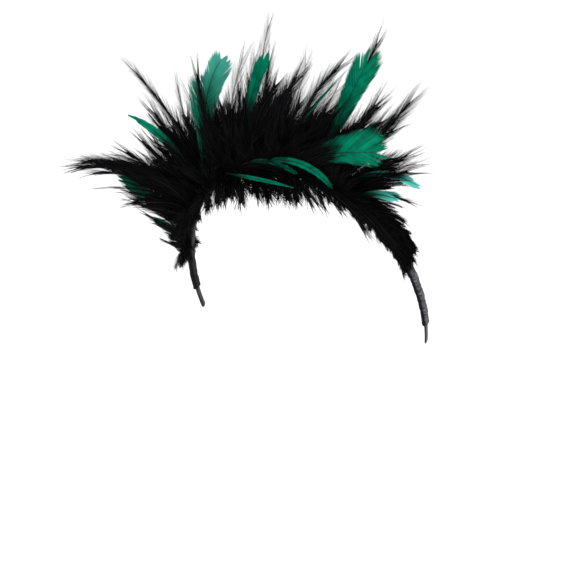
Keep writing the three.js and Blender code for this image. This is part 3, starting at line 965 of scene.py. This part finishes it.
def down_feathers(number_, generator, per_row):
    """Soft broad feathers that fill the crest between the hackles of one felt length."""
    first = number_ * STATIONS_PER_LENGTH
    for at, fan, bend, *_ in STATIONS[first:first + STATIONS_PER_LENGTH]:
        clump = 1 + 0.2 * math.sin(1.9 * at)
        for row, share in (("back", 1.0), ("middle", 0.76), ("front", 0.56)):
            across, lean, curl = ROWS[row]
            for _ in range(per_row):
                stray = generator.uniform(-1, 1, 6)
                place = float(np.clip(at + 3.2 * stray[0], FELT_START + 2, FELT_END - 1))
                full = share * float(np.interp(place, *zip(*MASS))) * clump
                turned, nod = lie_of(place, fan, lean, row)
                yield Feather(
                    place,
                    across + 0.1 * stray[1],
                    turned + 14 * stray[2],
                    0.6 * bend + 24 * stray[3],
                    nod + 11 * stray[4],
                    curl,
                    full * generator.uniform(0.58, 1.12),
                    45 * stray[5],
                    FELT_LIFT + 0.6 * felt_height(min(0.48, abs(across) + 0.1)),
                    (12 * stray[5], 10 * stray[0]),
                )


# Soft feathers along the front edge: place, fan, lean and length in metres
FRONT_EDGE = [
    (-75, -60, -8, 0.006), (-66, -84, 8, 0.010), (-56, -150, 42, 0.013), (-44, -205, 56, 0.015),
    (-32, -240, 44, 0.020), (-20, -264, 30, 0.030), (-5, -262, 28, 0.032), (12, -252, 18, 0.021),
    (26, -242, 8, 0.016), (44, -224, 6, 0.012), (62, -205, 4, 0.006),
]


def skirt_feathers(number_, generator, count):
    """Soft feathers that hide the strip: along its front edge, its back edge and its two ends."""
    first = number_ * STATIONS_PER_LENGTH
    places, fans, leans, lengths = zip(*FRONT_EDGE)
    for at, *_ in STATIONS[first:first + STATIONS_PER_LENGTH]:
        hangs = -28 < at < 12
        for _ in range((4 if hangs else 2) * count):
            stray = generator.uniform(-1, 1, 6)
            place = float(np.clip(at + 3.2 * stray[0], FELT_START + 1, FELT_END - 1))
            fan, lean, length = (float(np.interp(place, places, row)) for row in (fans, leans, lengths))
            if hangs or (-42 < place < 34 and stray[0] > 0):
                fan, lean, length = fan + 26, lean + 22, 0.66 * length
            if hangs:
                fan -= 14 * math.sin(1.15 * place)
                length *= 1 + 0.26 * math.cos(1.15 * place + 0.5) + 0.1 * math.sin(0.37 * place)
            yield Feather(
                place,
                0.43 + 0.05 * stray[5],
                fan + 14 * stray[1],
                10 * stray[2],
                lean + 8 * stray[3],
                0,
                length * (1 + (0.3 if hangs else 0.22) * stray[4]),
                30 * stray[5] if hangs else 0,
                FELT_LIFT + 0.3 * felt_height(0.43),
                (14 * stray[3], 10 * stray[4]),
            )
        for _ in range(count):
            stray = generator.uniform(-1, 1, 5)
            place = float(np.clip(at + 3.2 * stray[0], FELT_START + 2, FELT_END - 1))
            flat = float(np.clip((place - 32) / 12, 0, 1))
            fan = 0.8 * place + (along_band(place) - 12 - 0.8 * place) * flat
            yield Feather(
                place,
                -0.43,
                fan + (35 - 25 * flat) * stray[1],
                12 * stray[2],
                -52 + 44 * flat + 10 * stray[3],
                0,
                float(np.interp(place, [-75, -60, 40, 60], [0.008, 0.015, 0.013, 0.008])),
                0,
                FELT_LIFT + 0.5 * felt_height(0.43),
            )
        for _ in range((5 if hangs else 2) * count):
            stray = generator.uniform(-1, 1, 5)
            place = float(np.clip(at + 3.2 * stray[0], FELT_START + 2, FELT_END - 1))
            yield Feather(
                place,
                0.47,
                along_band(place) + 24 * stray[1],
                10 * stray[2],
                (52 if hangs else 34) + 26 * stray[3],
                0,
                float(np.interp(place, [-75, -50, 4, 16, 60], [0.006, 0.012, 0.011, 0.008, 0.005])),
                30 * stray[4],
                FELT_LIFT + 0.5 * felt_height(0.47),
            )
        if at > 33 or at < -62:
            for _ in range(3 * count):
                stray = generator.uniform(-1, 1, 5)
                place = float(np.clip(at + 3.2 * stray[0], FELT_START + 1, FELT_END - 1))
                raised = 7 if at > 0 else 205
                yield Feather(
                    place,
                    0.38 * stray[1],
                    along_band(place) - raised + 9 * stray[2],
                    6 * stray[4],
                    10 * stray[3],
                    0,
                    0.013 + 0.003 * stray[4],
                    0,
                    FELT_LIFT + 0.6 * FELT_THICKNESS,
                )
        if at in (STATIONS[0][0], STATIONS[-1][0]):
            end, facing = (FELT_END, 0) if at > 0 else (FELT_START, 180)
            for k in range(9 * count):
                stray = generator.uniform(-1, 1, 4)
                across = -0.52 + 1.04 * k / (9 * count - 1)
                yield Feather(
                    end - math.copysign(1.2 + 1.0 * stray[0], at),
                    across,
                    along_band(end) + facing + 9 * stray[1],
                    0,
                    24 * across + 12 * stray[2],
                    0,
                    0.0125 + 0.003 * stray[3],
                    40 * stray[1],
                    FELT_LIFT + (0.4 + 0.35 * stray[2]) * FELT_THICKNESS,
                )


def green_share(feather, width, fork):
    """The shaft's share of a green feather, whose last barbs run on to its tip."""
    return 1 - max(fork, 0.15) * width / feather.length


def green_fields(feather, width, fork, nicks, pale, vane, generator):
    """What a green shaft says of its barbs, which fill the vane's outline."""
    length = feather.length
    broad, point, *sides = vane
    places, halves = zip(*(BROAD_OUTLINE if broad else GREEN_OUTLINE))
    end = green_share(feather, width, fork)
    notch_depth = fork * width / length
    splits = [(0.86 - 0.12 * k, -1, 1.6) for k in range(nicks)]
    splits += [(generator.uniform(0.4, 0.92), generator.choice([-1, 1]), 1.4) for _ in range(4)]

    def angle(along, hand):
        base = np.interp(along / end, [0, 0.25, 0.6, 0.85, 1], [46, 42, 36, 27, 7])
        for place, side, opening in splits:
            if side == hand:
                gap = along - place
                base = base - opening * np.sign(gap) * np.exp(-np.abs(gap) / 0.03)
        return np.radians(base)

    def half(up, hand):
        """Half width of the vane at a share of its length."""
        wide, lobe_end = sides[:2] if hand < 0 else sides[2:]
        rounding = np.clip((up - lobe_end + 0.1) / 0.1, 0, 1)
        lobe = 0.4 + 0.6 * np.sqrt(1 - rounding**2)
        pointed = 1 - point * np.clip((up - 0.72) / 0.28, 0, 1)
        return np.interp(up, places, halves, right=0) * width * wide * lobe * pointed

    def reach(along, hand):
        slopes = angle(along, hand)
        found = []
        for start, slope in zip(np.atleast_1d(along), np.atleast_1d(slopes)):
            runs = np.linspace(0, 1.8 * width / math.sin(slope), 160)
            out, up = runs * math.sin(slope), start + runs * math.cos(slope) / length
            limit = 1 - notch_depth * np.clip(1 - out / (0.16 * width + 1e-9), 0, 1)
            inside = (out <= half(up, hand)) & (up <= limit)
            found.append(runs[max(0, int(np.argmin(inside)) - 1)] if not inside.all() else runs[-1])
        return np.array(found) + 0.0004

    return {
        "reach_left": lambda along: reach(along, -1),
        "reach_right": lambda along: reach(along, 1),
        "angle_left": lambda along: angle(along, -1),
        "angle_right": lambda along: angle(along, 1),
        "shaft": lambda along: np.interp(along, [0, 0.5, 1], [0.00055, 0.0003, 0.0001]),
        "fine": 1.3 if broad else 1.1,
        "coarse": 1.0,
        "tint": pale,
    }


def green_feathers():
    """The green feathers in order, with their width, fork, nicks, paleness and vane."""
    for row_values, (nod, turn, curve, arch, long, *vane) in zip(GREENS, VANES):
        at, row, fan, bend, length, width, fork, nicks, pale = row_values
        across, lean, curl = ROWS[row]
        half = max(0.0007, 0.07 * width * GREEN_WIDTH)
        upright = min(1.0, float(heading(fan, lean) @ arc_normal(at)))
        lift = FELT_LIFT + felt_height(across) + SEAT_GAP + half * math.sqrt(1 - upright**2)
        full = length * long * GREEN_LENGTH
        fan, bend = fan + turn, bend + curve
        roll = 14 - 0.4 * (fan + 0.5 * bend)
        feather = Feather(at, across, fan, bend, lean + nod, curl + arch, full, roll, lift)
        yield feather, width * GREEN_WIDTH, fork, nicks, pale, vane


# ---------------------------------------------------------------- finishes


def plastic_finish():
    """Black moulded plastic with faint flow marks."""
    shader = Shader("Hoop Plastic", IOR=1.46, Specular_IOR_Level=0.2)
    place = shader.place()
    flow = shader.noise(place, 240, 4)
    shader.feed("Base Color", shader.blend(flow, (0.006, 0.006, 0.007, 1), (0.013, 0.013, 0.015, 1)))
    shader.feed("Roughness", shader.fit(shader.noise(place, 900, 2), 0.3, 0.7, 0.24, 0.4))
    shader.bump(flow, 0.15, 0.0002)
    return shader.material


def satin_finish():
    """Black satin with painted light: a painted grey sheen on its outer face, painted highlights on the crease
    ridges and painted shade in their hollows, painted shade along the overlapping step of each turn, threads, and
    darker edges that keep the plain black.
    """
    shader = Shader("Black Satin", Specular_IOR_Level=0.06)
    phase = shader.attribute("phase")
    metres = shader.attribute("metres")
    threads = shader.noise(shader.vector(phase * 55, metres * 240, 0), 1, 3)
    # Crease ridges lighter as painted highlight and their hollows darker as painted shade, mixed with the threads'
    # grain
    ridge_light_and_threads = shader.fit(shader.attribute("crease") + 0.2 * (threads - 0.5), -0.1, 0.14)
    # Outer face, which takes the painted grey sheen; the edges stay near black
    face = shader.fit(shader.attribute("facing"), 0.3, 0.8)
    # Painted shade along the overlapping step of each turn, where the painted sheen fades out
    step_shade = shader.fit(phase, 0.9, 0.97, 1, 0.1)
    # Painted grey sheen of the satin, lighter on the crease ridges
    satin = shader.blend(ridge_light_and_threads, (0.02, 0.019, 0.023, 1), (0.125, 0.118, 0.137, 1))
    dark = (0.0035, 0.0035, 0.004, 1)
    shader.feed("Base Color", shader.blend(face * step_shade, dark, satin))
    shader.feed("Roughness", shader.fit(threads - 0.3 * face, -0.1, 0.7, 0.34, 0.6))
    shader.bump(threads, 0.35, 0.0002)
    return shader.material


def felt_finish():
    """Matted black felt."""
    shader = Shader("Black Felt", Specular_IOR_Level=0.03)
    place = shader.place()
    nap = shader.noise(place, 1400, 5)
    shader.feed("Base Color", shader.blend(nap, (0.001, 0.001, 0.001, 1), (0.0045, 0.0045, 0.005, 1)))
    shader.feed("Roughness", shader.fit(nap, 0.3, 0.7, 0.85, 1))
    shader.bump(nap, 0.8, 0.0004)
    return shader.material


def hackle_finish():
    """Black barbs, greyer towards their ends as painted light on the outer strands."""
    shader = Shader("Black Barbs", Specular_IOR_Level=0.0)
    ends = shader.attribute("out")
    grain = shader.attribute("grain")
    tint = shader.attribute("tint")
    # Painted light: the barb ends greyer, by a random amount from barb to barb
    soft = shader.math("MULTIPLY", ends, 0.35 + 0.65 * grain, clamp=True)
    black = shader.blend(tint, (0.0012, 0.0012, 0.001, 1), (0.0028, 0.0027, 0.0029, 1))
    shader.feed("Base Color", shader.blend(soft, black, (0.013, 0.0125, 0.014, 1)))
    gloss = shader.noise(shader.place(), 500, 2)
    shader.feed("Roughness", shader.fit(gloss, 0.3, 0.7, 0.46, 0.64))
    return shader.material


def green_finish():
    """Dyed emerald barbs: black at the root, partly the dye and partly painted shade under the black feathers;
    bright along the vane, with patchy tone and painted shade in dark streaks between barbs; paler at the ends.
    """
    shader = Shader("Emerald Barbs", Specular_IOR_Level=0.0)
    along = shader.attribute("along")
    ends = shader.attribute("out")
    grain = shader.attribute("grain")
    pale = shader.attribute("tint")
    patches = shader.noise(shader.place(), 160, 3)
    # Dark streaks between barbs as painted shade
    streaks = shader.noise(shader.vector(shader.attribute("metres") * 900, pale * 40, 0), 1, 2)
    # Patchy tone at random, together with the painted shade of the streaks
    shade = shader.fit(patches + 0.45 * grain + 0.9 * streaks, 0.7, 1.5)
    colour = shader.blend(shade, (0.0, 0.036, 0.022, 1), (0.0, 0.2, 0.104, 1))
    tips = shader.fit(0.6 * ends + along, 0.5, 1.2)
    light = shader.math("MULTIPLY", pale * pale * pale * 1.5, tips, clamp=True)
    colour = shader.blend(light, colour, (0.11, 0.5, 0.43, 1))
    # Black towards the root: partly the dye, partly painted shade where the black feathers cover the greens
    root = shader.fit(along + 0.25 * patches, 0.3, 0.66, 1, 0)
    shader.feed("Base Color", shader.blend(root, colour, (0.0006, 0.01, 0.006, 1)))
    shader.feed("Roughness", shader.fit(grain, 0, 1, 0.42, 0.6))
    return shader.material


def shaft_finish(name, dark, light):
    """Horny quill, darker at the root and with fine lengthwise streaks."""
    shader = Shader(name, Specular_IOR_Level=0.08)
    along = shader.attribute("along")
    streaks = shader.noise(shader.place(), 700, 3)
    colour = shader.blend(shader.fit(along + 0.3 * streaks, 0.2, 0.9), (*dark, 1), (*light, 1))
    shader.feed("Base Color", colour)
    shader.feed("Roughness", shader.fit(streaks, 0.3, 0.7, 0.3, 0.5))
    return shader.material


def floor_finish(colour):
    """Matt backdrop paper."""
    shader = Shader("Backdrop Paper", Specular_IOR_Level=0.1)
    shader.surface.inputs["Base Color"].default_value = (*colour, 1)
    shader.feed("Roughness", shader.fit(shader.noise(shader.place(), 60, 4), 0.3, 0.7, 0.85, 1))
    return shader.material


# ---------------------------------------------------------------- settings


def size(name, description, default):
    return bpy.props.FloatProperty(
        name=name, description=description, default=default, min=0, unit="LENGTH", precision=5
    )


def share(name, description, default):
    return bpy.props.FloatProperty(name=name, description=description, default=default)


def number(name, description, default):
    return bpy.props.IntProperty(name=name, description=description, default=default, min=0)


class RibbonSettings(bpy.types.PropertyGroup):
    """Sizes of the wound ribbon."""

    pitch: size("Turn Pitch", "Length of hoop that one turn covers", 0.013)
    step: size("Edge Step", "Height of each overlapping edge", RIBBON_STEP)
    crease: size("Crease Depth", "Depth of the creases along the ribbon", 0.00045)
    creases: share("Creases per Turn", "How many creases lie side by side", 9)


class FeltSettings(bpy.types.PropertyGroup):
    """Sizes of the felt strip."""

    nap: size("Nap", "How far the matted surface rises and falls", 0.00018)


class HackleSettings(bpy.types.PropertyGroup):
    """Sizes and number of the black hackles."""

    spacing: size("Barb Spacing", "Distance between barbs along a shaft", 0.00046)
    width: size("Barb Width", "Half width of a barb at the shaft", 0.00017)
    thickness: size("Barb Thickness", "Half thickness of a barb", 0.00005)
    companions: number("Companions", "Shorter feathers beside each hackle", 1)
    down: number("Down", "Soft broad feathers low in each row at each station", 4)
    skirt: number("Skirt", "Short soft feathers at each edge of the felt at each station", 3)
    spread: share("Companion Spread", "Degrees that companions stray", 11)
    seed: number("Seed", "Changes how the hackles scatter", 3)


class GreenSettings(bpy.types.PropertyGroup):
    """Sizes of the green feathers' barbs."""

    spacing: size("Barb Spacing", "Distance between barbs along a shaft", 0.00042)
    width: size("Barb Width", "Half width of a barb at the shaft", 0.00021)
    thickness: size("Barb Thickness", "Half thickness of a barb", 0.00005)
    seed: number("Seed", "Changes how the vanes split", 11)


class StageSettings(bpy.types.PropertyGroup):
    """Floor, light and camera."""

    floor: bpy.props.FloatVectorProperty(
        name="Floor Colour", description="Colour of the backdrop paper", subtype="COLOR", default=(0.95, 0.95, 0.95)
    )
    distance: size("Camera Distance", "From the camera to the band's top", 1.1)
    azimuth: share("Camera Azimuth", "Degrees from the front towards the wearer's left", 22)
    elevation: share("Camera Elevation", "Degrees above the band's top", 8)
    roll: share("Camera Roll", "Degrees that the picture leans clockwise", 5.7)


# ---------------------------------------------------------------- operators


class HEADBAND_OT_hoop(bpy.types.Operator):
    """Make the springy plastic hoop"""

    bl_idname = "headband.hoop"
    bl_label = "Make Hoop"

    def execute(self, context):
        piece = placed("hoop_band", hoop_mesh())
        piece.data.materials.append(plastic_finish())
        seated(piece, "hoop_plastic", "hoop")
        return {"FINISHED"}


class HEADBAND_OT_ribbon(bpy.types.Operator):
    """Wind the satin ribbon round the hoop"""

    bl_idname = "headband.ribbon"
    bl_label = "Wind Ribbon"

    def execute(self, context):
        ribbon = context.scene.headband_ribbon
        values = {
            "Turn Pitch": ribbon.pitch,
            "Edge Step": ribbon.step,
            "Crease Depth": ribbon.crease,
            "Creases per Turn": ribbon.creases,
            "Material": satin_finish(),
        }
        piece = grown("satin_winding", sleeve_mesh(), winding_tree(), values)
        for name in ("outward", "outer"):
            piece.data.attributes.remove(piece.data.attributes[name])
        seated(piece, "satin_ribbon", "ribbon_wrap")
        return {"FINISHED"}


class HEADBAND_OT_felt(bpy.types.Operator):
    """Lay the felt strip that carries the feathers"""

    bl_idname = "headband.felt"
    bl_label = "Lay Felt"

    def execute(self, context):
        nap = context.scene.headband_felt.nap
        generator = np.random.default_rng(5)
        steps, top, bottom = 240, 17, 9
        shares = [*np.linspace(0.5, -0.5, bottom), *np.linspace(-0.5, 0.5, top + 2)[1:-1]]
        rings = []
        for at in np.linspace(FELT_START, FELT_END, steps):
            heights = [0.0 if k < bottom else felt_height(s) for k, s in enumerate(shares)]
            rough = generator.uniform(-nap, nap, len(shares))
            lifts = FELT_LIFT + np.array(heights) + np.where(np.arange(len(shares)) < bottom, 0, rough)
            rings.append(over_arc(at, lifts, np.array(shares) * (FELT_WIDTH + rough)))
        count = len(shares)
        faces = grid_faces(steps, count)
        faces.append(tuple(range(count))[::-1])
        faces.append(tuple((steps - 1) * count + k for k in range(count)))
        mesh = bpy.data.meshes.new("felt_strip")
        mesh.from_pydata(worn(np.concatenate(rings)).tolist(), [], faces)
        outward(mesh)
        mesh.shade_smooth()
        mesh.materials.append(felt_finish())
        piece = placed("felt_strip", mesh)
        seated(piece, "black_hackle", *[f"hackle_pad_{k + 1}" for k in range(FELT_LENGTHS)])
        return {"FINISHED"}


class HEADBAND_OT_hackles(bpy.types.Operator):
    """Grow the black hackles, a bunch on each length of felt"""

    bl_idname = "headband.hackles"
    bl_label = "Grow Hackles"

    def execute(self, context):
        settings = context.scene.headband_hackles
        graph = barb_tree()
        barbs = hackle_finish()
        quill = shaft_finish("Black Quill", (0.001, 0.001, 0.001), (0.003, 0.003, 0.0034))
        for number_, bunch in enumerate(hackles_by_length()):
            generator = np.random.default_rng(settings.seed + number_)
            shafts = Shafts()
            for feather, airy in bunch:
                fields = hackle_fields(feather.length, generator, airy)
                shafts.add(feather, 0.001, hackle_share(feather.length), **fields)
                for _ in range(settings.companions):
                    extra = companion(feather, generator, settings.spread)
                    fields = hackle_fields(extra.length, generator, generator.random() < 0.3)
                    shafts.add(extra, 0.001, hackle_share(extra.length), **fields)
            for feather in down_feathers(number_, generator, settings.down):
                shafts.add(feather, 0.001, 0.8, **down_fields(feather.length, generator))
            for feather in skirt_feathers(number_, generator, settings.skirt):
                shafts.add(feather, 0.001, 0.7, **down_fields(feather.length, generator))
            values = {
                "Barb Spacing": settings.spacing,
                "Barb Width": settings.width,
                "Barb Thickness": settings.thickness,
                "Barb Pieces": 3,
                "Taper": 1.3,
                "Curl": 0.5,
                "Tuft Length": 0.006,
                "Tuft Angle": 0.13,
                "Raggedness": 0.45,
                "Loft": 0.25,
                "Seed": settings.seed + number_ * 13,
                "Barb Material": barbs,
                "Shaft Material": quill,
            }
            piece = grown(f"hackle_bunch_{number_ + 1}", shafts.mesh("shafts"), graph, values)
            drop_spent(piece.data)
            seated(piece, "black_hackle", f"hackle_pad_{number_ + 1}")
        return {"FINISHED"}


class HEADBAND_OT_greens(bpy.types.Operator):
    """Grow the green feathers"""

    bl_idname = "headband.greens"
    bl_label = "Grow Green Feathers"

    def execute(self, context):
        settings = context.scene.headband_greens
        graph = barb_tree()
        barbs = green_finish()
        quill = shaft_finish("Green Quill", (0.002, 0.008, 0.006), (0.002, 0.03, 0.022))
        for number_, (feather, width, fork, nicks, pale, vane) in enumerate(green_feathers()):
            generator = np.random.default_rng(settings.seed + number_)
            shafts = Shafts()
            fields = green_fields(feather, width, fork, nicks, pale, vane, generator)
            shafts.add(feather, 0.0005, green_share(feather, width, fork), **fields)
            values = {
                "Barb Spacing": settings.spacing,
                "Barb Width": settings.width,
                "Barb Thickness": settings.thickness,
                "Barb Pieces": 4,
                "Taper": 7.0,
                "Curl": 0.2,
                "Tuft Length": 0.004,
                "Tuft Angle": 0.04,
                "Raggedness": 0.12,
                "Loft": 0.12,
                "Seed": settings.seed + number_ * 7,
                "Barb Material": barbs,
                "Shaft Material": quill,
            }
            piece = grown(f"green_plume_{number_ + 1}", shafts.mesh("shafts"), graph, values)
            drop_spent(piece.data)
            seated(piece, "green_feather", f"green_feather_{number_ + 1}")
        return {"FINISHED"}


class HEADBAND_OT_stage(bpy.types.Operator):
    """Set the floor, the light and the camera"""

    bl_idname = "headband.stage"
    bl_label = "Set Stage"

    def execute(self, context):
        stage = context.scene.headband_stage
        ground = CAD_BOX[0].z - 0.0005
        bpy.ops.mesh.primitive_circle_add(vertices=128, radius=6, fill_type="NGON", location=(0, 0, ground))
        floor = context.object
        floor.name = "floor"
        floor.data.materials.append(floor_finish(stage.floor))
        world = bpy.data.worlds.new("Studio")
        world.use_nodes = True
        sky = world.node_tree.nodes["Background"]
        sky.inputs["Color"].default_value = (1, 1, 1, 1)
        sky.inputs["Strength"].default_value = 1.1
        context.scene.world = world
        context.scene.view_settings.view_transform = "Standard"
        for name, place, width, power in (
            ("key", (-0.9, -1.3, 1.3), 0.9, 16),
            ("fill", (1.4, -0.9, 0.7), 1.2, 7),
            ("rim", (0.3, 1.4, 1.2), 1.0, 7),
        ):
            lamp = bpy.data.lights.new(name, "AREA")
            lamp.size = width
            lamp.energy = power
            light = bpy.data.objects.new(name, lamp)
            light.location = place
            aim = Vector((0, 0, 0)) - light.location
            light.rotation_euler = aim.to_track_quat("-Z", "Y").to_euler()
            context.scene.collection.objects.link(light)
        self.aim_camera(context, stage)
        return {"FINISHED"}

    @staticmethod
    def aim_camera(context, stage):
        """Puts the camera where the picture was taken from."""
        across_frame, width_in_focus = 36, 0.337
        turn, rise, roll = (math.radians(v) for v in (stage.azimuth, stage.elevation, stage.roll))
        right = Vector((math.cos(turn), math.sin(turn), 0))
        back = Vector((math.sin(turn) * math.cos(rise), -math.cos(turn) * math.cos(rise), math.sin(rise)))
        up = back.cross(right)
        right, up = (
            right * math.cos(roll) + up * math.sin(roll),
            up * math.cos(roll) - right * math.sin(roll),
        )
        data = bpy.data.cameras.new("camera")
        data.sensor_width = across_frame
        data.lens = across_frame * stage.distance / width_in_focus
        camera = bpy.data.objects.new("camera", data)
        middle = right * 0.0032 - up * 0.0703
        matrix = Matrix((right, up, back)).transposed().to_4x4()
        matrix.translation = middle + back * stage.distance
        camera.matrix_world = matrix
        context.scene.collection.objects.link(camera)
        context.scene.camera = camera


class HEADBAND_PT_panel(bpy.types.Panel):
    """Lists the headband's pieces"""

    bl_idname = "HEADBAND_PT_panel"
    bl_label = "Headband"
    bl_space_type = "VIEW_3D"
    bl_region_type = "UI"
    bl_category = "Headband"

    def draw(self, context):
        for operator, group in PIECES:
            box = self.layout.box()
            box.operator(operator.bl_idname)
            settings = getattr(context.scene, group, None) if group else None
            for key in getattr(type(settings), "__annotations__", {}):
                box.prop(settings, key)


SETTINGS = {
    "headband_ribbon": RibbonSettings,
    "headband_felt": FeltSettings,
    "headband_hackles": HackleSettings,
    "headband_greens": GreenSettings,
    "headband_stage": StageSettings,
}
PIECES = [
    (HEADBAND_OT_stage, "headband_stage"),
    (HEADBAND_OT_hoop, None),
    (HEADBAND_OT_ribbon, "headband_ribbon"),
    (HEADBAND_OT_felt, "headband_felt"),
    (HEADBAND_OT_hackles, "headband_hackles"),
    (HEADBAND_OT_greens, "headband_greens"),
]


def register():
    for group, kind in SETTINGS.items():
        bpy.utils.register_class(kind)
        setattr(bpy.types.Scene, group, bpy.props.PointerProperty(type=kind))
    for operator, _ in PIECES:
        bpy.utils.register_class(operator)
    bpy.utils.register_class(HEADBAND_PT_panel)


def unregister():
    bpy.utils.unregister_class(HEADBAND_PT_panel)
    for operator, _ in reversed(PIECES):
        bpy.utils.unregister_class(operator)
    for group, kind in reversed(SETTINGS.items()):
        delattr(bpy.types.Scene, group)
        bpy.utils.unregister_class(kind)


def main():
    register()
    bpy.ops.headband.stage()
    bpy.ops.headband.hoop()
    bpy.ops.headband.ribbon()
    bpy.ops.headband.felt()
    bpy.ops.headband.hackles()
    bpy.ops.headband.greens()


if __name__ == "__main__":
    main()
